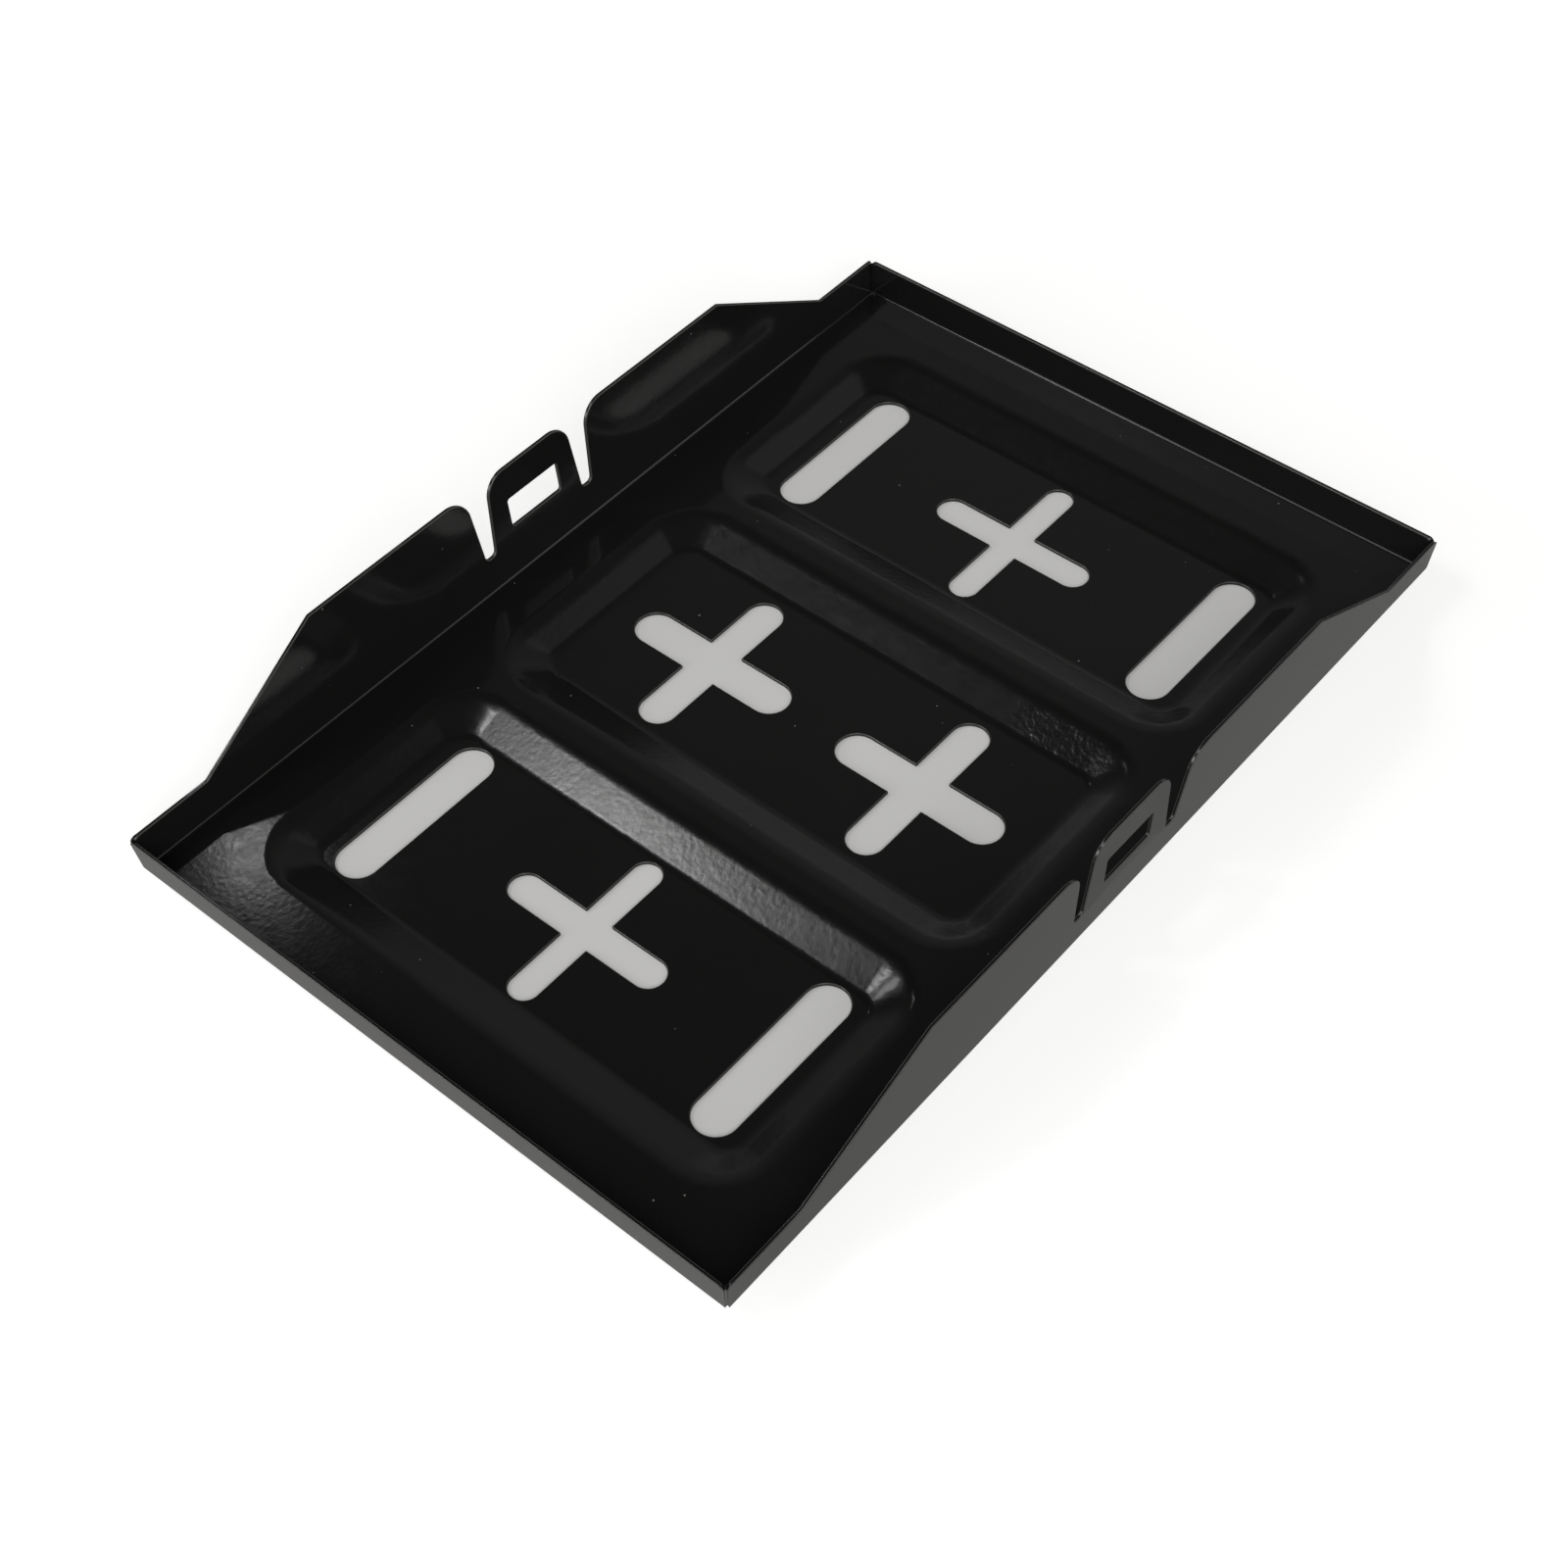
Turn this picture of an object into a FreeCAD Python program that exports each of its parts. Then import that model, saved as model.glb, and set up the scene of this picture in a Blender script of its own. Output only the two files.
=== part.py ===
import FreeCAD, Part

# Car battery tray: one sheet of steel, punched, pressed into three pans and folded up on all four sides.
# X runs along the tray, Y across it from front to rear, and Z up. The origin lies midway along and
# across the folds, level with the undersides of the pans that the tray rests on.
# Every rise is measured up from the underside of the flat deck between the pans.

import os
import Sketcher
from FreeCAD import Placement, Rotation, Vector

SIZES = [
    ("tray_length", 275.0, "over the outer faces of the end rims, at the folds"),
    ("tray_width", 183.75, "over the outer faces of the long walls, at the folds"),
    ("sheet_thickness", 1.0, "steel sheet with its paint"),
    ("fold_radius", 0.7, "inside radius of the four folds"),
    ("rim_rise", 11.15, "top of the low rim, and floor of the notches"),
    ("wing_rise", 33.87, "top of the high part of a long wall, and of the strap tab"),
    ("front_lean", 5.25, "degrees that the front wall leans out"),
    ("rear_lean", 5.57, "degrees that the rear wall leans out"),
    ("left_lean", 5.37, "degrees that the left rim leans out"),
    ("right_lean", 3.16, "degrees that the right rim leans out"),
    ("front_tab_lean", 2.63, "degrees that the front tab leans out"),
    ("rear_tab_lean", 4.94, "degrees that the rear tab leans out"),
    ("wing_foot_setback", 23.0, "from the end fold to the foot of a long wall's slope"),
    ("wing_slope_run", 40.15, "along the tray, from foot to head of that slope"),
    ("shoulder_radius", 7.0, "wing top rounded into its notch"),
    ("tab_foot_width", 32.45, "strap tab at the notch floors"),
    ("tab_corner_radius", 6.5, "top corners of the tab"),
    ("notch_foot_width", 3.45, "notch beside the tab, at its floor"),
    ("notch_flare", 5.07, "degrees that each side of a notch leans from upright"),
    ("notch_floor_radius", 1.5, "bottom corners of a notch"),
    ("strap_slot_length", 17.9, "slot for the strap in the tab, along the tray"),
    ("strap_slot_height", 8.7, "slot for the strap in the tab, up the tab"),
    ("strap_slot_rise", 15.5, "bottom of the slot for the strap"),
    ("strap_slot_radius", 0.8, "corners of the slot for the strap"),
    ("pan_depth", 4.66, "pans pressed down below the deck"),
    ("deck_end_border", 18.6, "flat deck between an end fold and an end pan"),
    ("deck_side_border", 16.78, "flat deck between a long fold and the pans"),
    ("pan_gap", 7.8, "flat deck between neighbouring pans"),
    ("middle_pan_width", 76.6, "middle pan along the tray, at the deck"),
    ("end_pan_bevel", 10.5, "run of an end pan's long walls, from deck to floor"),
    ("middle_pan_bevel", 10.2, "run of the middle pan's long walls"),
    ("pan_end_bevel", 8.2, "run of every pan's short walls"),
    ("pan_top_corner", 14.0, "plan radius of the pan corners, at the deck"),
    ("pan_floor_corner", 5.5, "plan radius of the pan corners, at the floor"),
    ("pan_deck_bend", 10.0, "inside radius of the bend from the deck down into a pan"),
    ("pan_floor_bend", 6.0, "inside radius of the bend out onto a pan's floor"),
    ("slot_side_margin", 1.25, "floor left beyond a bolt slot's ends, and an end cross's"),
    ("slot_end_margin", 10.0, "from a pan floor's end to the middle of its bolt slot"),
    ("slot_width", 11.5, "bolt slot"),
    ("end_cross_along_width", 8.0, "end cross, arm along the tray"),
    ("end_cross_across", 47.95, "end cross, length of its arm across the tray"),
    ("end_cross_across_width", 8.7, "width of that arm"),
    ("middle_cross_side_margin", 2.8, "floor left beyond a middle cross's arm along the tray"),
    ("middle_cross_end_margin", 8.7, "floor left beyond its arm across the tray"),
    ("middle_cross_along_width", 10.05, "middle cross, arm along the tray"),
    ("middle_cross_across_width", 10.95, "middle cross, arm across the tray"),
    ("seam_gap", 0.6, "open seam between two folded walls at a corner"),
    ("seam_relief", 0.6, "how far the seam runs into the deck's corner"),
    ("rim_corner_radius", 1.2, "top corners of the walls beside a seam"),
    ("trim_spare", 4.0, "stock folded up past the wings and cut off"),
]

# Sizes that follow from the ones above, as expressions.
DECK = "sizes.pan_depth"
SHEET = "sizes.sheet_thickness"
BENT = {side: f"tan(sizes.{side}_lean * 1 deg)" for side in ("front", "rear", "left", "right")}
SLANT = {side: f"({SHEET} / cos(sizes.{side}_lean * 1 deg))" for side in BENT}
FLARE = "tan(sizes.notch_flare * 1 deg)"
STOCK = "(sizes.wing_rise + sizes.trim_spare)"
CLEAR = "(sizes.tray_length / 2 + sizes.wing_rise)"
RIM = f"({DECK} + sizes.rim_rise)"
WING = f"({DECK} + sizes.wing_rise)"
TAB_FOOT = "(sizes.tab_foot_width / 2)"
NOTCH_FOOT = f"({TAB_FOOT} + sizes.notch_foot_width)"
SPREAD = f"((sizes.wing_rise - sizes.rim_rise) * {FLARE})"
WING_FOOT = "(sizes.tray_length / 2 - sizes.wing_foot_setback)"
STRAP_SLOT = f"({DECK} + sizes.strap_slot_rise)"
MIDDLE_TOP = "(sizes.middle_pan_width / 2)"
END_TOP = f"((sizes.tray_length / 2 - sizes.deck_end_border - sizes.pan_gap - {MIDDLE_TOP}) / 2)"
PITCH = f"({MIDDLE_TOP} + sizes.pan_gap + {END_TOP})"
MIDDLE_FLOOR = f"({MIDDLE_TOP} - sizes.middle_pan_bevel)"
END_FLOOR = f"({END_TOP} - sizes.end_pan_bevel)"
PAN_TOP = "(sizes.tray_width / 2 - sizes.deck_side_border)"
PAN_FLOOR = f"({PAN_TOP} - sizes.pan_end_bevel)"
OUTWARD = {"front": Vector(0, -1, 0), "rear": Vector(0, 1, 0), "left": Vector(-1, 0, 0), "right": Vector(1, 0, 0)}


def makeSheet(doc):
    sheet = doc.addObject("Spreadsheet::Sheet", "sizes")
    for row, (name, value, note) in enumerate(SIZES, 1):
        sheet.set(f"A{row}", name)
        sheet.set(f"B{row}", str(value))
        sheet.set(f"C{row}", note)
        sheet.setAlias(f"B{row}", name)
    doc.recompute()
    return sheet


def number(thing, expression):
    result = thing.evalExpression(expression)
    return float(getattr(result, "Value", result))


def makeSketch(body, name, plane, height=None):
    sketch = body.newObject("Sketcher::SketchObject", name)
    support = next(f for f in body.Origin.OriginFeatures if f.Role == plane)
    sketch.AttachmentSupport = [(support, "")]
    sketch.MapMode = "FlatFace"
    if height:
        sketch.setExpression("AttachmentOffset.Base.z", height)
    return sketch


def drive(sketch, kind, name, expression, *where):
    index = sketch.addConstraint(Sketcher.Constraint(kind, *where, number(sketch, expression)))
    sketch.renameConstraint(index, name)
    sketch.setExpression(f"Constraints.{name}", expression)


def place(sketch, name, geometry, point, x, y):
    drive(sketch, "DistanceX", f"{name}_x", x, -1, 1, geometry, point)
    drive(sketch, "DistanceY", f"{name}_y", y, -1, 1, geometry, point)


# A closed outline of straight sides through corners, each corner two expressions.
def addOutline(sketch, name, corners):
    points = [Vector(number(sketch, x), number(sketch, y), 0) for x, y in corners]
    first = sketch.GeometryCount
    count = len(points)
    for i in range(count):
        sketch.addGeometry(Part.LineSegment(points[i], points[(i + 1) % count]))
    for i, (x, y) in enumerate(corners):
        before = first + (i - 1) % count
        sketch.addConstraint(Sketcher.Constraint("Coincident", before, 2, first + i, 1))
        place(sketch, f"{name}_{i}", first + i, 1, x, y)


# A closed outline with round corners: arcs about the given centres, joined by tangent sides.
# The centres run anticlockwise, and the arc about each one starts at the given angle.
def addRounded(sketch, name, centres, radius, start):
    points = [Vector(number(sketch, x), number(sketch, y), 0) for x, y in centres]
    reach = number(sketch, radius)
    count = len(points)
    turn = 360.0 / count
    first = sketch.GeometryCount
    turns = [Rotation(Vector(0, 0, 1), start + turn * i) for i in range(count + 1)]
    spin = [rotation.multVec(Vector(reach, 0, 0)) for rotation in turns]
    for i, centre in enumerate(points):
        circle = Part.Circle(centre, Vector(0, 0, 1), reach)
        begin, end = (circle.parameter(centre + spin[i + k]) for k in (0, 1))
        sketch.addGeometry(Part.ArcOfCircle(circle, begin, end))
        sketch.addGeometry(Part.LineSegment(centre + spin[i + 1], points[(i + 1) % count] + spin[i + 1]))
    for i, (x, y) in enumerate(centres):
        arc, side, following = first + 2 * i, first + 2 * i + 1, first + (2 * i + 2) % (2 * count)
        sketch.addConstraint(Sketcher.Constraint("Tangent", arc, 2, side, 1))
        sketch.addConstraint(Sketcher.Constraint("Tangent", side, 2, following, 1))
        place(sketch, f"{name}_{i}", arc, 3, x, y)
        if i:
            sketch.addConstraint(Sketcher.Constraint("Equal", first, arc))
    drive(sketch, "Radius", f"{name}_radius", radius, first)


# A hole with round ends, centred on x and y.
def addSlot(sketch, name, x, y, length, width, across=False):
    half = f"({length} - {width}) / 2"
    if across:
        addRounded(sketch, name, [(x, f"{y} + {half}"), (x, f"{y} - {half}")], f"{width} / 2", 0)
    else:
        addRounded(sketch, name, [(f"{x} - {half}", y), (f"{x} + {half}", y)], f"{width} / 2", 90)


def addBox(sketch, name, left, right, front, rear):
    addOutline(sketch, name, [(left, front), (right, front), (right, rear), (left, rear)])


def loft(body, kind, name, lower, upper):
    feature = body.newObject(f"PartDesign::{kind}", name)
    feature.Profile = lower
    feature.Sections = [upper]
    feature.Ruled = True
    body.Document.recompute()


# Cuts right through, both ways from the sketch's plane, and makes sure that something was cut.
def cutThrough(body, name, sketch):
    before = body.Tip.Shape.Volume
    pocket = body.newObject("PartDesign::Pocket", name)
    pocket.Profile = sketch
    pocket.SideType = "Symmetric"
    pocket.Type = "ThroughAll"
    body.Document.recompute()
    if pocket.Shape.Volume >= before:
        raise RuntimeError(f"{name} cut nothing")


def roundEdges(body, name, radius, picked):
    base = body.Tip
    names = [f"Edge{i}" for i, edge in enumerate(base.Shape.Edges, 1) if picked(edge)]
    if not names:
        raise RuntimeError(f"{name} found no edge")
    fillet = body.newObject("PartDesign::Fillet", name)
    fillet.Base = (base, names)
    fillet.setExpression("Radius", radius)
    body.Document.recompute()


def middleOf(edge):
    return edge.valueAt((edge.FirstParameter + edge.LastParameter) / 2)


def isLevel(edge, height):
    heights = [vertex.Z for vertex in edge.Vertexes] + [middleOf(edge).z]
    return all(abs(z - height) < 0.001 for z in heights)


# An edge that runs across the tray through a wall, at the given place along and up it.
def runsThrough(edge, x, z):
    ends = [edge.valueAt(edge.FirstParameter), edge.valueAt(edge.LastParameter)]
    reach = abs(ends[0].y - ends[1].y)
    return 0.1 < reach and all(abs(abs(p.x) - x) < 0.02 and abs(p.z - z) < 0.02 for p in ends)


# An edge left by a seam, which runs out of a corner between the X and Y directions.
def isAskew(edge):
    run = edge.valueAt(edge.LastParameter) - edge.valueAt(edge.FirstParameter)
    return abs(abs(run.x) - abs(run.y)) < 0.001


def isWithin(edge, reach):
    middle = middleOf(edge)
    return abs(middle.x) < reach[0] and abs(middle.y) < reach[1]


# The outer faces at a given rise above the deck's underside, moved in by a share of the slanted sheet.
def wallBox(sketch, name, rise, inset):
    addBox(
        sketch,
        name,
        f"-sizes.tray_length / 2 - {rise} * {BENT['left']} + {inset} * {SLANT['left']}",
        f"sizes.tray_length / 2 + {rise} * {BENT['right']} - {inset} * {SLANT['right']}",
        f"-sizes.tray_width / 2 - {rise} * {BENT['front']} + {inset} * {SLANT['front']}",
        f"sizes.tray_width / 2 + {rise} * {BENT['rear']} - {inset} * {SLANT['rear']}",
    )


# Leans the four outer faces, or the four inner ones, out from where they meet the given level face.
def leanFaces(body, name, level, facing):
    for side, outward in OUTWARD.items():
        base = body.Tip
        turned, flat = [], []
        for i, face in enumerate(base.Shape.Faces, 1):
            normal, middle = face.normalAt(0, 0), face.CenterOfMass
            if facing * normal.dot(outward) > 0.9 and middle.dot(outward) > 0:
                turned.append(f"Face{i}")
            if abs(normal.z) > 0.99 and abs(middle.z - level) < 0.001:
                flat.append(f"Face{i}")
        draft = body.newObject("PartDesign::Draft", f"{side}_{name}")
        draft.Base = (base, turned)
        draft.NeutralPlane = (base, flat[:1])
        draft.Reversed = facing > 0
        draft.setExpression("Angle", f"sizes.{side}_lean")
        body.Document.recompute()


# Deck and four leaning walls, as stock that is taller than the wings.
def foldWalls(body, value):
    foot = makeSketch(body, "stock_foot", "XY_Plane", DECK)
    wallBox(foot, "foot", "0", "0")
    stock = body.newObject("PartDesign::Pad", "stock")
    stock.Profile = foot
    stock.setExpression("Length", STOCK)
    body.Document.recompute()
    underside = value(DECK)
    leanFaces(body, "outside", underside, 1)
    roundEdges(body, "outer_folds", "sizes.fold_radius + sizes.sheet_thickness", lambda e: isLevel(e, underside))
    floor = makeSketch(body, "bay_floor", "XY_Plane", f"{DECK} + {SHEET}")
    wallBox(floor, "floor", SHEET, "1")
    bay = body.newObject("PartDesign::Pocket", "bay")
    bay.Profile = floor
    bay.Reversed = True
    bay.Type = "ThroughAll"
    body.Document.recompute()
    deck = value(f"{DECK} + {SHEET}")
    leanFaces(body, "inside", deck, -1)
    roundEdges(body, "inner_folds", "sizes.fold_radius", lambda e: isLevel(e, deck))


# A pan's outline at one height, from its half sizes along and across the tray.
def panOutline(body, name, height, middle, along, across, corner):
    sketch = makeSketch(body, name, "XY_Plane", height)
    right, left = f"{middle} + {along} - {corner}", f"{middle} - {along} + {corner}"
    rear, front = f"{across} - {corner}", f"-{across} + {corner}"
    addRounded(sketch, "outline", [(right, rear), (left, rear), (left, front), (right, front)], corner, 0)
    return sketch


# Three pans pressed down out of the deck, each with its bevelled wall of full sheet thickness.
# The underside of a wall lies outside its upper face by as much as the sheet's bends move it.
def pressPans(body, value):
    pans = [
        ("left_pan", f"-{PITCH}", END_TOP, END_FLOOR, "sizes.end_pan_bevel"),
        ("middle_pan", "0", MIDDLE_TOP, MIDDLE_FLOOR, "sizes.middle_pan_bevel"),
        ("right_pan", PITCH, END_TOP, END_FLOOR, "sizes.end_pan_bevel"),
    ]
    bends = {
        "under": ("sizes.pan_deck_bend", f"sizes.pan_floor_bend + {SHEET}"),
        "upper": (f"sizes.pan_deck_bend + {SHEET}", "sizes.pan_floor_bend"),
    }
    for face, kind, rise in (("under", "AdditiveLoft", "0"), ("upper", "SubtractiveLoft", SHEET)):
        for pan, middle, top, floor, bevel in pans:
            grow = f" + {SHEET} * tan(atan({DECK} / {bevel}) / 2)" if face == "under" else ""
            deep = panOutline(body, f"{pan}_{face}_floor", rise, middle, f"({floor}{grow})",
                              f"({PAN_FLOOR}{grow})", "sizes.pan_floor_corner")
            high = panOutline(body, f"{pan}_{face}_deck", f"{DECK} + {rise}", middle, f"({top}{grow})",
                              f"({PAN_TOP}{grow})", "sizes.pan_top_corner")
            loft(body, kind, f"{pan}_{face}", deep, high)
        reach = (value(f"{PITCH} + {END_TOP} + {SHEET}"), value(f"{PAN_TOP} + {SHEET}"))
        for bend, radius, height in zip(("deck", "floor"), bends[face], (f"{DECK} + {rise}", rise)):
            level = value(height)
            roundEdges(body, f"{face}_{bend}_bends", radius, lambda e: isLevel(e, level) and isWithin(e, reach))


# The walls trimmed to their outline: low rims all round, and on the long sides two sloping wings
# with a gap for the tab between them.
def trimWalls(body):
    sketch = makeSketch(body, "wall_outline", "XZ_Plane")
    above = f"{DECK} + {STOCK} + sizes.trim_spare"
    half = [
        (CLEAR, above),
        (CLEAR, RIM),
        (WING_FOOT, RIM),
        (f"({WING_FOOT} - sizes.wing_slope_run)", WING),
        (f"({NOTCH_FOOT} + {SPREAD})", WING),
        (NOTCH_FOOT, RIM),
    ]
    addOutline(sketch, "wall", half + [(f"-{x}", z) for x, z in reversed(half)])
    cutThrough(body, "wall_trim", sketch)


# A strap tab, bent a little more upright than the wall that it stands on.
def bendTab(body, side, sign):
    sketch = makeSketch(body, f"{side}_tab_section", "YZ_Plane")
    outer = f"(sizes.tray_width / 2 + sizes.rim_rise * {BENT[side]})"
    lean = f"(sizes.wing_rise - sizes.rim_rise) * tan(sizes.{side}_tab_lean * 1 deg)"
    inner = f"({outer} - {SLANT[side]})"
    corners = [(outer, RIM), (inner, RIM), (f"({inner} + {lean})", WING), (f"({outer} + {lean})", WING)]
    addOutline(sketch, "tab", [(f"{sign}{y}", z) for y, z in corners])
    tab = body.newObject("PartDesign::Pad", f"{side}_tab")
    tab.Profile = sketch
    tab.SideType = "Symmetric"
    tab.setExpression("Length", "sizes.tab_foot_width")
    body.Document.recompute()


# The tab's tapered sides and the slot for the strap.
def trimTabs(body):
    sketch = makeSketch(body, "tab_outline", "XZ_Plane")
    above = f"{DECK} + {STOCK}"
    head = f"({TAB_FOOT} - (sizes.wing_rise + sizes.trim_spare - sizes.rim_rise) * {FLARE})"
    outside = f"({TAB_FOOT} + sizes.notch_foot_width / 2)"
    for name, sign in (("right", ""), ("left", "-")):
        corners = [(TAB_FOOT, RIM), (outside, RIM), (outside, above), (head, above)]
        addOutline(sketch, name, [(f"{sign}{x}", z) for x, z in corners])
    addBox(sketch, "strap_slot", "-sizes.strap_slot_length / 2", "sizes.strap_slot_length / 2", STRAP_SLOT,
           f"{STRAP_SLOT} + sizes.strap_slot_height")
    cutThrough(body, "tab_trim", sketch)


# Open seams at the four corners, where a long wall and an end rim are folded up side by side.
def openSeams(body):
    sketch = makeSketch(body, "seams", "XY_Plane")
    side = "(sizes.seam_gap / 2 * sqrt(2))"
    inner = "(sizes.sheet_thickness + sizes.fold_radius + sizes.seam_relief)"
    reach = "sizes.wing_rise"
    near = ("(sizes.tray_length / 2", "(sizes.tray_width / 2")
    signs = (("rear_right", "", ""), ("rear_left", "-", ""), ("front_left", "-", "-"), ("front_right", "", "-"))
    for name, sx, sy in signs:
        corners = [
            (f"{sx}{near[0]} - {inner} + {side})", f"{sy}{near[1]} - {inner})"),
            (f"{sx}{near[0]} + {reach} + {side})", f"{sy}{near[1]} + {reach})"),
            (f"{sx}{near[0]} + {reach})", f"{sy}{near[1]} + {reach} + {side})"),
            (f"{sx}{near[0]} - {inner})", f"{sy}{near[1]} - {inner} + {side})"),
        ]
        addOutline(sketch, name, corners)
    cutThrough(body, "seam_cut", sketch)


# Rounded corners of the trimmed walls, tabs and strap slots.
def roundWalls(body, value):
    places = [
        ("shoulders", "sizes.shoulder_radius", [(f"{NOTCH_FOOT} + {SPREAD}", WING)]),
        ("tab_corners", "sizes.tab_corner_radius", [(f"{TAB_FOOT} - {SPREAD}", WING)]),
        ("notch_floors", "sizes.notch_floor_radius", [(TAB_FOOT, RIM), (NOTCH_FOOT, RIM)]),
        ("strap_slot_corners", "sizes.strap_slot_radius",
         [("sizes.strap_slot_length / 2", z) for z in (STRAP_SLOT, f"{STRAP_SLOT} + sizes.strap_slot_height")]),
    ]
    for name, radius, spots in places:
        found = [(value(x), value(z)) for x, z in spots]
        roundEdges(body, name, radius, lambda e: any(runsThrough(e, x, z) for x, z in found))
    rim, beside = value(RIM), value(WING_FOOT)
    roundEdges(body, "rim_corners", "sizes.rim_corner_radius",
               lambda e: isLevel(e, rim) and abs(middleOf(e).x) > beside and isAskew(e))


# Slots for the bolts that hold the tray down, and crosses that lighten and drain the pans.
def punchFloors(body):
    long_cuts = makeSketch(body, "cuts_along", "XY_Plane")
    cross_cuts = makeSketch(body, "cuts_across", "XY_Plane")
    slot_length = f"(2 * ({END_FLOOR} - sizes.slot_side_margin))"
    slot_place = f"({PAN_FLOOR} - sizes.slot_end_margin)"
    middle_along = f"(2 * ({MIDDLE_FLOOR} - sizes.middle_cross_side_margin))"
    middle_across = f"({PAN_FLOOR} - 2 * sizes.middle_cross_end_margin)"
    for end, sx in (("left", "-"), ("right", "")):
        for row, sy in (("front", "-"), ("rear", "")):
            middle = (f"{sx}{PITCH}", f"{sy}{slot_place}")
            addSlot(long_cuts, f"{end}_{row}_slot", *middle, slot_length, "sizes.slot_width")
    crosses = [
        ("left_cross", f"-{PITCH}", "0", "end", slot_length, "sizes.end_cross_across"),
        ("right_cross", PITCH, "0", "end", slot_length, "sizes.end_cross_across"),
        ("front_cross", "0", f"-{PAN_FLOOR} / 2", "middle", middle_along, middle_across),
        ("rear_cross", "0", f"{PAN_FLOOR} / 2", "middle", middle_along, middle_across),
    ]
    for name, x, y, size, along, across in crosses:
        addSlot(long_cuts, name, x, y, along, f"sizes.{size}_cross_along_width")
        addSlot(cross_cuts, name, x, y, across, f"sizes.{size}_cross_across_width", across=True)
    cutThrough(body, "slots_and_arms", long_cuts)
    cutThrough(body, "cross_arms", cross_cuts)


def makeTray(doc, value):
    body = doc.addObject("PartDesign::Body", "tray")
    body.Label = "tray"
    foldWalls(body, value)
    pressPans(body, value)
    trimWalls(body)
    for side, sign in (("front", "-"), ("rear", "")):
        bendTab(body, side, sign)
    trimTabs(body)
    openSeams(body)
    roundWalls(body, value)
    punchFloors(body)
    body.Placement = Placement(Vector(0, 0, 0), Rotation())
    return body


def main():
    doc = FreeCAD.newDocument("battery_tray")
    sheet = makeSheet(doc)
    tray = makeTray(doc, lambda expression: number(sheet, expression))
    doc.recompute()
    for thing in doc.Objects:
        if "Invalid" in thing.State or "Error" in thing.State:
            raise RuntimeError(f"{thing.Name} failed: {thing.State}")
    if tray.Shape.isNull() or not tray.Shape.isValid() or len(tray.Shape.Solids) != 1:
        raise RuntimeError("the tray is not one valid solid")
    os.makedirs("parts", exist_ok=True)
    tray.Shape.exportStep(f"parts/{tray.Label}.step")
    box = tray.Shape.BoundBox
    print(f"{tray.Label}: {box.XLength:.2f} x {box.YLength:.2f} x {box.ZLength:.2f} mm, {tray.Shape.Volume:.0f} mm3")


main()
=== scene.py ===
import math
import bpy
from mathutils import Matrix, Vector


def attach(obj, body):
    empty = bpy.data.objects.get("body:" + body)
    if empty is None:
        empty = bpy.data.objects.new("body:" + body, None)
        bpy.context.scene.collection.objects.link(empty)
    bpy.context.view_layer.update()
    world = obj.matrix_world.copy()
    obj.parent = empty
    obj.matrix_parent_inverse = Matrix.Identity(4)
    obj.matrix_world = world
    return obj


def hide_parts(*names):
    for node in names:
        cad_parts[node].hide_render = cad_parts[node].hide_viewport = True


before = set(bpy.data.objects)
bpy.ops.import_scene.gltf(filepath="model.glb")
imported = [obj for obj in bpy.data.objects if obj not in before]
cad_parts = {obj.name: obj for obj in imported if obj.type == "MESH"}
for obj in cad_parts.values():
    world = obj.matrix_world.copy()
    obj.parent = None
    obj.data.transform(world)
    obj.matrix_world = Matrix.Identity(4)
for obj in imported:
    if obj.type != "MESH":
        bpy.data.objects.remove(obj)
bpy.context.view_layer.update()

bpy.context.scene.view_settings.view_transform = "Standard"

# All lengths are in metres. The tray stands on z = 0, with its long side along x.

cameraSetup = {
    "place": (-0.30844873, -0.26824446, 0.4591953),
    "turn": (40.32894, 1.61592, -49.79160),  # degrees
    "lens": 56.618,
    "sensor": 36.0,
    "nearest": 0.01,
}


def addCamera(setup):
    turn = [math.radians(angle) for angle in setup["turn"]]
    bpy.ops.object.camera_add(location=setup["place"], rotation=turn)
    camera = bpy.context.object
    camera.name = "photoCamera"
    camera.data.lens = setup["lens"]
    camera.data.sensor_width = setup["sensor"]
    camera.data.clip_start = setup["nearest"]
    bpy.context.scene.camera = camera


# small helpers for node trees

def startMaterial(name):
    material = bpy.data.materials.new(name)
    material.use_nodes = True
    material.node_tree.nodes.clear()
    return material, material.node_tree


def addNode(tree, kind, x, y, **settings):
    node = tree.nodes.new(kind)
    node.location = (x, y)
    for key, value in settings.items():
        setattr(node, key, value)
    return node


def setInputs(node, values):
    for key, value in values.items():
        node.inputs[key].default_value = value


def join(tree, fromNode, fromSocket, toNode, toSocket):
    tree.links.new(fromNode.outputs[fromSocket], toNode.inputs[toSocket])


# floor and backdrop in one: pale, white to the eye, with the tray's shadow kept and a painted shade under
# the tray

floorSetup = {
    "size": 14.0,
    "drop": 0.0001,  # a hair under the pans
    "colour": (0.52, 0.515, 0.505, 1.0),
    "glow": 0.68,  # brings the open floor to white
    "farGlow": 1.0,  # the same far out, where the lamps give little
    "farStart": 0.2,
    "farEnd": 1.0,
    "glossShare": 0.105,  # how much of the glow the enamel mirrors
    "paintedShadeGlow": 0.14,  # painted shade: less glow on the floor under the tray, seen through its holes
    "paintedShadeHalf": (0.131, 0.086),
    "paintedShadeBlur": 0.006,
}


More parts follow.
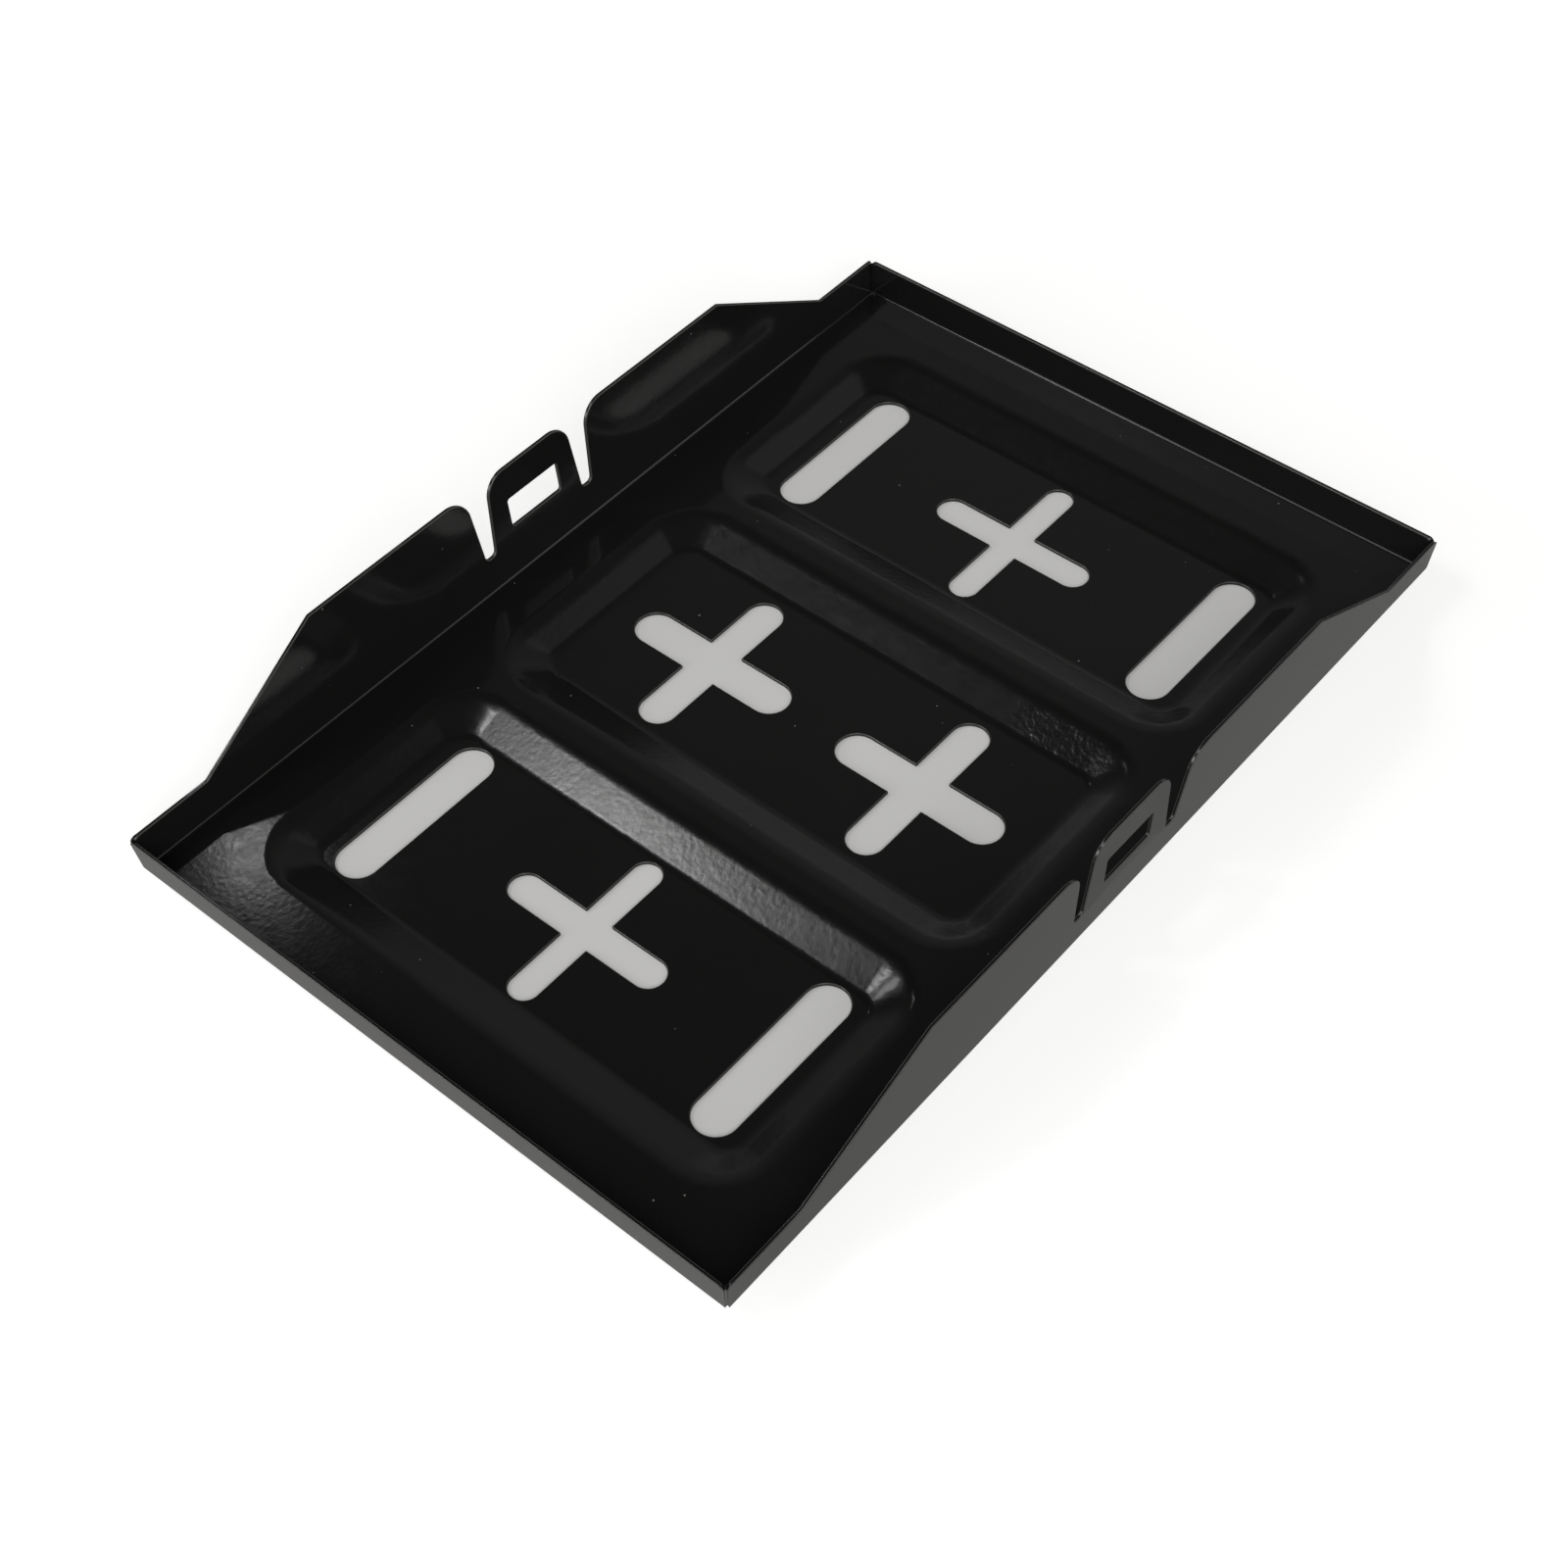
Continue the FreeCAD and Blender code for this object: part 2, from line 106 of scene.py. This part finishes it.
def makeFloorMaterial(setup):
    material, tree = startMaterial("paleFloor")
    lightPath = addNode(tree, "ShaderNodeLightPath", -1100, 400)
    gloss = addNode(tree, "ShaderNodeMath", -900, 300, operation="MULTIPLY")
    setInputs(gloss, {1: setup["glossShare"]})
    seen = addNode(tree, "ShaderNodeMath", -700, 400, operation="MAXIMUM")
    through = addNode(tree, "ShaderNodeMath", -500, 400, operation="MAXIMUM")
    join(tree, lightPath, "Is Glossy Ray", gloss, 0)
    join(tree, lightPath, "Is Camera Ray", seen, 0)
    join(tree, gloss, 0, seen, 1)
    join(tree, seen, 0, through, 0)
    join(tree, lightPath, "Is Transmission Ray", through, 1)

    coordinates = addNode(tree, "ShaderNodeTexCoord", -1500, 0)
    split = addNode(tree, "ShaderNodeSeparateXYZ", -1300, 0)
    join(tree, coordinates, "Object", split, 0)
    # painted shade: a soft box under the tray's footprint, where the floor's glow is cut down
    inside = []
    for axis in (0, 1):
        distance = addNode(tree, "ShaderNodeMath", -1100, -150 * axis, operation="ABSOLUTE")
        cover = addNode(tree, "ShaderNodeMapRange", -900, -150 * axis, interpolation_type="SMOOTHSTEP")
        edge = setup["paintedShadeHalf"][axis]
        setInputs(cover, {"From Min": edge - setup["paintedShadeBlur"], "From Max": edge,
                          "To Min": 1.0, "To Max": 0.0})
        join(tree, split, axis, distance, 0)
        join(tree, distance, 0, cover, "Value")
        inside.append(cover)
    under = addNode(tree, "ShaderNodeMath", -700, 0, operation="MULTIPLY")
    join(tree, inside[0], 0, under, 0)
    join(tree, inside[1], 0, under, 1)
    reach = addNode(tree, "ShaderNodeVectorMath", -1300, -350, operation="LENGTH")
    join(tree, coordinates, "Object", reach, 0)
    openGlow = addNode(tree, "ShaderNodeMapRange", -900, -350, interpolation_type="SMOOTHSTEP")
    setInputs(openGlow, {"From Min": setup["farStart"], "From Max": setup["farEnd"],
                         "To Min": setup["glow"], "To Max": setup["farGlow"]})
    join(tree, reach, "Value", openGlow, "Value")
    strength = addNode(tree, "ShaderNodeMapRange", -500, 0)
    setInputs(strength, {"To Max": setup["paintedShadeGlow"]})
    join(tree, under, 0, strength, "Value")
    join(tree, openGlow, 0, strength, "To Min")
    glow = addNode(tree, "ShaderNodeMath", -300, 300, operation="MULTIPLY")
    join(tree, through, 0, glow, 0)
    join(tree, strength, 0, glow, 1)

    # seen from below the floor is clear, so that the pans' undersides show
    emission = addNode(tree, "ShaderNodeEmission", -100, 300)
    diffuse = addNode(tree, "ShaderNodeBsdfDiffuse", -100, 100)
    both = addNode(tree, "ShaderNodeAddShader", 100, 200)
    clear = addNode(tree, "ShaderNodeBsdfTransparent", 100, 0)
    geometry = addNode(tree, "ShaderNodeNewGeometry", 100, 400)
    side = addNode(tree, "ShaderNodeMixShader", 300, 200)
    output = addNode(tree, "ShaderNodeOutputMaterial", 500, 200)
    setInputs(diffuse, {"Color": setup["colour"]})
    join(tree, glow, 0, emission, "Strength")
    join(tree, emission, 0, both, 0)
    join(tree, diffuse, 0, both, 1)
    join(tree, geometry, "Backfacing", side, 0)
    join(tree, both, 0, side, 1)
    join(tree, clear, 0, side, 2)
    join(tree, side, 0, output, "Surface")
    return material


def addFloor(setup):
    bpy.ops.mesh.primitive_plane_add(size=setup["size"], location=(0.0, 0.0, -setup["drop"]))
    floor = bpy.context.object
    floor.name = "floor"
    bpy.ops.object.transform_apply(location=True, rotation=True, scale=True)
    floor.data.materials.append(makeFloorMaterial(setup))


# studio: low light panels in front on the right and on the left, boxes above, pale walls, dark ceiling;
# the small boxes on the left give the bright band on the left pan's right wall

lightSetup = {
    # place is the middle as x, y, z; every box faces the tray's middle
    "boxes": [
        {"name": "frontPanel", "place": (1.17, -1.80, 0.52), "width": 1.6, "depth": 0.60, "radiance": 0.95},
        {"name": "leftPanel", "place": (-1.91, 0.89, 0.60), "width": 1.5, "depth": 0.75, "radiance": 3.0},
        {"name": "cameraBox", "place": (-1.07, -1.29, 1.43), "width": 1.2, "depth": 1.2, "radiance": 4.2},
        {"name": "leftBox", "place": (-0.69, 0.83, 1.5), "width": 0.44, "depth": 0.22, "radiance": 3.6},
        {"name": "leftCore", "place": (-0.63, 0.82, 1.5), "width": 0.30, "depth": 0.11, "radiance": 10.5},
        {"name": "leftGlow", "place": (-0.97, 0.78, 1.5), "width": 0.92, "depth": 0.52, "radiance": 1.9},
        {"name": "frontEndBox", "place": (-0.42, 1.46, 1.5), "width": 0.25, "depth": 0.34, "radiance": 6.0},
        {"name": "cornerSpot", "place": (0.51, 1.205, 1.5), "width": 0.06, "depth": 0.06, "radiance": 6.5},
        {"name": "foldGlow", "place": (1.08, -1.20, 1.5), "width": 0.36, "depth": 0.50, "radiance": 0.7},
        {"name": "frontGlow", "place": (1.05, -0.66, 1.5), "width": 0.90, "depth": 0.62, "radiance": 0.16},
    ],
    "roomColour": (1.0, 0.99, 0.98, 1.0),
    "ceiling": 0.02,
    "farSide": 0.17,  # pale wall behind, on the right
    "farToward": (0.75, 0.10, -0.35),
    "farStart": -0.12,
    "farFull": 0.42,
    "farFoot": 2.0,  # times as pale towards its foot
    "footTop": 0.26,
    "footFull": 0.10,
    "nearSide": 0.34,  # pale walls on the left and behind the camera
    "nearStart": -0.42,
    "nearFull": -0.75,
}


def addSoftbox(box):
    place = Vector(box["place"])
    turn = (-place).to_track_quat("-Z", "Y").to_euler()
    bpy.ops.object.light_add(type="AREA", location=place, rotation=turn)
    lamp = bpy.context.object
    lamp.name = box["name"]
    lamp.data.shape = "RECTANGLE"
    lamp.data.size = box["width"]
    lamp.data.size_y = box["depth"]
    lamp.data.energy = box["radiance"] * 4.0 * box["width"] * box["depth"]  # watts for that brightness


def addRoom(setup):
    world = bpy.data.worlds.new("studioRoom")
    world.use_nodes = True
    tree = world.node_tree
    tree.nodes.clear()
    direction = addNode(tree, "ShaderNodeTexCoord", -1500, 0)
    split = addNode(tree, "ShaderNodeSeparateXYZ", -1300, -200)
    join(tree, direction, "Generated", split, 0)
    along = addNode(tree, "ShaderNodeVectorMath", -1300, 200, operation="DOT_PRODUCT")
    along.inputs[1].default_value = setup["farToward"]
    join(tree, direction, "Generated", along, 0)
    far = addNode(tree, "ShaderNodeMapRange", -1000, 200, interpolation_type="SMOOTHSTEP")
    setInputs(far, {"From Min": setup["farStart"], "From Max": setup["farFull"],
                    "To Min": setup["ceiling"], "To Max": setup["farSide"]})
    join(tree, along, "Value", far, "Value")
    foot = addNode(tree, "ShaderNodeMapRange", -1000, 450, interpolation_type="SMOOTHSTEP")
    setInputs(foot, {"From Min": setup["footTop"], "From Max": setup["footFull"],
                     "To Min": 1.0, "To Max": setup["farFoot"]})
    join(tree, split, 2, foot, "Value")
    total = addNode(tree, "ShaderNodeMath", -800, 300, operation="MULTIPLY")
    join(tree, far, 0, total, 0)
    join(tree, foot, 0, total, 1)
    for axis in (0, 1):
        side = addNode(tree, "ShaderNodeMapRange", -1000, -200 - 250 * axis, interpolation_type="SMOOTHSTEP")
        setInputs(side, {"From Min": setup["nearStart"], "From Max": setup["nearFull"],
                         "To Min": 0.0, "To Max": setup["nearSide"]})
        join(tree, split, axis, side, "Value")
        added = addNode(tree, "ShaderNodeMath", -700, -200 * axis, operation="ADD")
        join(tree, total, 0, added, 0)
        join(tree, side, 0, added, 1)
        total = added
    lightPath = addNode(tree, "ShaderNodeLightPath", -600, 300)
    room = addNode(tree, "ShaderNodeBackground", -200, 100)
    backdrop = addNode(tree, "ShaderNodeBackground", -200, -100)
    choose = addNode(tree, "ShaderNodeMixShader", 0, 0)
    output = addNode(tree, "ShaderNodeOutputWorld", 200, 0)
    setInputs(room, {"Color": setup["roomColour"]})
    setInputs(backdrop, {"Color": (1.0, 1.0, 1.0, 1.0), "Strength": 1.0})
    join(tree, total, 0, room, "Strength")
    join(tree, lightPath, "Is Camera Ray", choose, 0)
    join(tree, room, 0, choose, 1)
    join(tree, backdrop, 0, choose, 2)
    join(tree, choose, 0, output, "Surface")
    bpy.context.scene.world = world


# the tray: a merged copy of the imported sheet, its cut edges eased as paint and tumbling leave them

trayShape = {
    "mergeDistance": 0.000004,
    "flatAngle": 0.4,  # degrees
    "edgeRound": 0.00028,
    "edgeSegments": 4,
    "edgeAngle": 48.0,
    "smoothAngle": 42.0,
    "normalWeight": 80,
}


def copyPackedSheet(name):
    bpy.ops.object.select_all(action="DESELECT")
    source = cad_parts["tray"]
    source.select_set(True)
    bpy.context.view_layer.objects.active = source
    bpy.ops.object.duplicate()
    piece = bpy.context.object
    piece.name = name
    piece.data.name = name
    for key in list(piece.keys()):
        del piece[key]
    return piece


def makeTray(setup):
    tray = copyPackedSheet("enamelledTray")
    bpy.ops.object.mode_set(mode="EDIT")
    bpy.ops.mesh.select_all(action="SELECT")
    bpy.ops.mesh.remove_doubles(threshold=setup["mergeDistance"])
    bpy.ops.mesh.dissolve_limited(angle_limit=math.radians(setup["flatAngle"]))
    bpy.ops.object.mode_set(mode="OBJECT")
    return tray


def easeEdges(tray, setup):
    # one slot for the faces, one for the arrises
    tray.data.materials.clear()
    tray.data.materials.append(None)
    tray.data.materials.append(None)
    bpy.ops.object.modifier_add(type="BEVEL")
    bevel = tray.modifiers[-1]
    bevel.width = setup["edgeRound"]
    bevel.segments = setup["edgeSegments"]
    bevel.limit_method = "ANGLE"
    bevel.angle_limit = math.radians(setup["edgeAngle"])
    bevel.use_clamp_overlap = False
    bevel.material = 1  # the thin paint on the arrises, lighter also as a painted highlight
    bpy.ops.object.modifier_apply(modifier=bevel.name)
    bpy.ops.object.shade_smooth_by_angle(angle=math.radians(setup["smoothAngle"]))
    bpy.ops.object.modifier_add(type="WEIGHTED_NORMAL")
    weighted = tray.modifiers[-1]
    weighted.mode = "FACE_AREA"
    weighted.weight = setup["normalWeight"]
    weighted.keep_sharp = True
    bpy.ops.object.modifier_apply(modifier=weighted.name)


# paint that has run into the open seams at the corners and closed them, a little below the sheet's faces

seamPaintShape = {
    "cornerX": 0.1345,  # seam faces lie outside these
    "cornerY": 0.0888,
    "faceLean": 0.995,  # how squarely a face must look along the gap
    "gap": 0.0006,
    "overlap": 0.00015,
    "sunk": 0.00012,
    "inward": 0.0003,  # the seam stays open a little at its outside
    "groove": 0.00025,  # and the paint has sunk further along the middle
    "flatAngle": 1.0,  # degrees
    "smoothAngle": 40.0,
}


def addSeamPaint(setup):
    paint = copyPackedSheet("seamPaint")
    bpy.ops.object.mode_set(mode="EDIT")
    bpy.ops.mesh.select_mode(type="FACE")
    bpy.ops.mesh.select_all(action="SELECT")
    bpy.ops.mesh.remove_doubles(threshold=trayShape["mergeDistance"])
    bpy.ops.mesh.select_all(action="DESELECT")
    bpy.ops.object.mode_set(mode="OBJECT")
    for face in paint.data.polygons:
        place = face.center
        if abs(place.x) < setup["cornerX"] or abs(place.y) < setup["cornerY"]:
            continue
        # one side of each gap: the face that looks from the long wall to the end rim
        across = Vector((math.copysign(1.0, place.x), -math.copysign(1.0, place.y), 0.0)).normalized()
        face.select = face.normal.dot(across) > setup["faceLean"]
    bpy.ops.object.mode_set(mode="EDIT")
    bpy.ops.mesh.select_all(action="INVERT")
    bpy.ops.mesh.delete(type="FACE")
    # each face is moved in a little and drawn across the gap in two steps, with a dent between them
    for sideX in (-1.0, 1.0):
        for sideY in (-1.0, 1.0):
            bpy.ops.mesh.select_all(action="DESELECT")
            bpy.ops.object.mode_set(mode="OBJECT")
            for face in paint.data.polygons:
                face.select = face.center.x * sideX > 0 and face.center.y * sideY > 0
            bpy.ops.object.mode_set(mode="EDIT")
            across = Vector((sideX, -sideY, 0.0)).normalized()
            inward = Vector((-sideX, -sideY, 0.0)).normalized()
            bpy.ops.transform.translate(value=inward * setup["inward"] - across * setup["overlap"])
            half = across * (0.5 * setup["gap"] + setup["overlap"])
            for dent in (setup["groove"], -setup["groove"]):
                bpy.ops.mesh.extrude_region_move(TRANSFORM_OT_translate={"value": half + inward * dent})
    bpy.ops.mesh.select_all(action="SELECT")
    bpy.ops.mesh.dissolve_limited(angle_limit=math.radians(setup["flatAngle"]))
    bpy.ops.mesh.normals_make_consistent(inside=False)
    bpy.ops.transform.shrink_fatten(value=-setup["sunk"])
    bpy.ops.mesh.select_mode(type="VERT")
    bpy.ops.object.mode_set(mode="OBJECT")
    bpy.ops.object.shade_smooth_by_angle(angle=math.radians(setup["smoothAngle"]))
    return paint


# black stove enamel: deep gloss, smooth on the flats, dimpled on the pressed bends, with a little dust

# lighter enamel on the arrises: partly thin paint on the sharp edges, partly a painted highlight along them
arrisPaintAndHighlightSetup = {
    "colour": (0.030, 0.029, 0.028, 1.0),
    "thinColour": (0.060, 0.058, 0.056, 1.0),
    "roughness": 0.28,
}

enamelSetup = {
    "colour": (0.0062, 0.0060, 0.0058, 1.0),
    "thinColour": (0.0082, 0.0079, 0.0077, 1.0),
    "cloudScale": 38.0,  # where the coat is thin
    "roughness": 0.11,
    "pressedRoughness": 0.09,  # more on the pressed walls
    "roughnessSpread": 0.02,
    "smearScale": 260.0,
    "peelScale": 680.0,
    "peelHeight": 0.000026,
    "peelOnFlats": 0.40,
    "waveScale": 40.0,
    "waveHeight": 0.000012,
    "panFloor": 0.0011,  # the pressed walls lie between these heights
    "deckTop": 0.0055,
    "pressedBlur": 0.0006,
    "grainPlace": (0.034, -0.053, 0.003),  # a coarse patch on the middle pan's right wall
    "grainReach": (0.010, 0.020, 0.008),
    "grainAmount": 4.8,
    "dustColour": (0.20, 0.195, 0.19, 1.0),
    "dustScale": 210.0,
    "dustSize": 0.06,
    "dustShare": 0.3,
    "ior": 1.5,
}


def makeEnamel(name, setup):
    material, tree = startMaterial(name)
    coordinates = addNode(tree, "ShaderNodeTexCoord", -1700, 0)
    clouds = addNode(tree, "ShaderNodeTexNoise", -1200, 300)
    setInputs(clouds, {"Scale": setup["cloudScale"], "Detail": 4.0, "Roughness": 0.6})
    join(tree, coordinates, "Object", clouds, "Vector")
    tone = addNode(tree, "ShaderNodeMix", -800, 300, data_type="RGBA")
    tone.inputs[6].default_value = setup["colour"]
    tone.inputs[7].default_value = setup["thinColour"]
    join(tree, clouds, 0, tone, 0)

    smears = addNode(tree, "ShaderNodeTexNoise", -1200, 0)
    setInputs(smears, {"Scale": setup["smearScale"], "Detail": 3.0, "Roughness": 0.55})
    join(tree, coordinates, "Object", smears, "Vector")
    roughness = addNode(tree, "ShaderNodeMapRange", -800, 0)
    setInputs(roughness, {"From Min": 0.3, "From Max": 0.7,
                          "To Min": setup["roughness"] - setup["roughnessSpread"],
                          "To Max": setup["roughness"] + setup["roughnessSpread"]})
    join(tree, smears, 0, roughness, "Value")

    # dust: one small speck in a few of the cells, each with its own size
    cells = addNode(tree, "ShaderNodeTexVoronoi", -1200, -300)
    setInputs(cells, {"Scale": setup["dustScale"], "Randomness": 1.0})
    join(tree, coordinates, "Object", cells, "Vector")
    pick = addNode(tree, "ShaderNodeSeparateColor", -1000, -500)
    join(tree, cells, "Color", pick, 0)
    size = addNode(tree, "ShaderNodeMath", -800, -350, operation="MULTIPLY")
    setInputs(size, {1: setup["dustSize"]})
    join(tree, pick, 1, size, 0)
    near = addNode(tree, "ShaderNodeMath", -600, -300, operation="LESS_THAN")
    join(tree, cells, "Distance", near, 0)
    join(tree, size, 0, near, 1)
    few = addNode(tree, "ShaderNodeMath", -800, -550, operation="LESS_THAN")
    setInputs(few, {1: setup["dustShare"]})
    join(tree, pick, 0, few, 0)
    dust = addNode(tree, "ShaderNodeMath", -400, -400, operation="MULTIPLY")
    join(tree, near, 0, dust, 0)
    join(tree, few, 0, dust, 1)
    dusted = addNode(tree, "ShaderNodeMix", -300, 200, data_type="RGBA")
    dusted.inputs[7].default_value = setup["dustColour"]
    join(tree, dust, 0, dusted, 0)
    join(tree, tone, 2, dusted, 6)

    # orange peel: fine dimples, weak on the flats and full on the pressed walls between pan floor and deck
    split = addNode(tree, "ShaderNodeSeparateXYZ", -1500, -1000)
    join(tree, coordinates, "Object", split, 0)
    above = addNode(tree, "ShaderNodeMapRange", -1200, -950, interpolation_type="SMOOTHSTEP")
    setInputs(above, {"From Min": setup["panFloor"], "From Max": setup["panFloor"] + setup["pressedBlur"]})
    join(tree, split, 2, above, "Value")
    below = addNode(tree, "ShaderNodeMapRange", -1200, -1200, interpolation_type="SMOOTHSTEP")
    setInputs(below, {"From Min": setup["deckTop"] - setup["pressedBlur"], "From Max": setup["deckTop"],
                      "To Min": 1.0, "To Max": 0.0})
    join(tree, split, 2, below, "Value")
    pressed = addNode(tree, "ShaderNodeMath", -1000, -1050, operation="MULTIPLY")
    join(tree, above, 0, pressed, 0)
    join(tree, below, 0, pressed, 1)
    amount = addNode(tree, "ShaderNodeMapRange", -800, -1050)
    setInputs(amount, {"To Min": setup["peelOnFlats"], "To Max": 1.0})
    join(tree, pressed, 0, amount, "Value")
    rougher = addNode(tree, "ShaderNodeMath", -600, -100, operation="MULTIPLY_ADD")
    setInputs(rougher, {1: setup["pressedRoughness"]})
    join(tree, pressed, 0, rougher, 0)
    join(tree, roughness, 0, rougher, 2)

    # the coarse patch: the same dimples, deeper near one place
    patch = addNode(tree, "ShaderNodeMapping", -1500, -1500)
    zoom = [1.0 / reach for reach in setup["grainReach"]]
    setInputs(patch, {"Scale": zoom, "Location": [-at * by for at, by in zip(setup["grainPlace"], zoom)]})
    join(tree, coordinates, "Object", patch, "Vector")
    away = addNode(tree, "ShaderNodeVectorMath", -1300, -1500, operation="LENGTH")
    join(tree, patch, 0, away, 0)
    coarse = addNode(tree, "ShaderNodeMapRange", -1100, -1500, interpolation_type="SMOOTHSTEP")
    setInputs(coarse, {"From Min": 0.4, "From Max": 1.0, "To Min": setup["grainAmount"], "To Max": 1.0})
    join(tree, away, "Value", coarse, "Value")
    grain = addNode(tree, "ShaderNodeMath", -700, -1300, operation="MULTIPLY")
    join(tree, amount, 0, grain, 0)
    join(tree, coarse, 0, grain, 1)

    peel = addNode(tree, "ShaderNodeTexNoise", -1200, -750)
    setInputs(peel, {"Scale": setup["peelScale"], "Detail": 1.5, "Roughness": 0.45})
    join(tree, coordinates, "Object", peel, "Vector")
    peelHeight = addNode(tree, "ShaderNodeMath", -600, -850, operation="MULTIPLY")
    join(tree, peel, 0, peelHeight, 0)
    join(tree, grain, 0, peelHeight, 1)
    peelBump = addNode(tree, "ShaderNodeBump", -400, -850)
    setInputs(peelBump, {"Strength": 1.0, "Distance": setup["peelHeight"]})
    join(tree, peelHeight, 0, peelBump, "Height")

    # and long, very low waves in the whole coat
    waves = addNode(tree, "ShaderNodeTexNoise", -600, -1200)
    setInputs(waves, {"Scale": setup["waveScale"], "Detail": 1.0})
    join(tree, coordinates, "Object", waves, "Vector")
    waveBump = addNode(tree, "ShaderNodeBump", -200, -900)
    setInputs(waveBump, {"Strength": 1.0, "Distance": setup["waveHeight"]})
    join(tree, waves, 0, waveBump, "Height")
    join(tree, peelBump, 0, waveBump, "Normal")

    shader = addNode(tree, "ShaderNodeBsdfPrincipled", 0, 0)
    setInputs(shader, {"IOR": setup["ior"], "Metallic": 0.0})
    join(tree, dusted, 2, shader, "Base Color")
    join(tree, rougher, 0, shader, "Roughness")
    join(tree, waveBump, 0, shader, "Normal")
    output = addNode(tree, "ShaderNodeOutputMaterial", 300, 0)
    join(tree, shader, 0, output, "Surface")
    return material


print("camera, floor and lights")
addCamera(cameraSetup)
addFloor(floorSetup)
for box in lightSetup["boxes"]:
    addSoftbox(box)
addRoom(lightSetup)

print("tray")
tray = makeTray(trayShape)
easeEdges(tray, trayShape)
print("tray has", len(tray.data.vertices), "vertices and", len(tray.data.polygons), "faces")

print("paint in the seams")
seamPaint = addSeamPaint(seamPaintShape)
print("seam paint has", len(seamPaint.data.vertices), "vertices and", len(seamPaint.data.polygons), "faces")

print("enamel")
enamel = makeEnamel("blackEnamel", enamelSetup)
# the arrises get the lighter enamel: thin paint and a painted highlight
arrisPaintAndHighlightEnamel = makeEnamel("thinEnamelAndPaintedHighlightOnArrises", {**enamelSetup, **arrisPaintAndHighlightSetup})
tray.data.materials[0] = enamel
tray.data.materials[1] = arrisPaintAndHighlightEnamel
seamPaint.data.materials.clear()
seamPaint.data.materials.append(enamel)
for piece in (tray, seamPaint):
    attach(piece, "root")
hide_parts("tray")
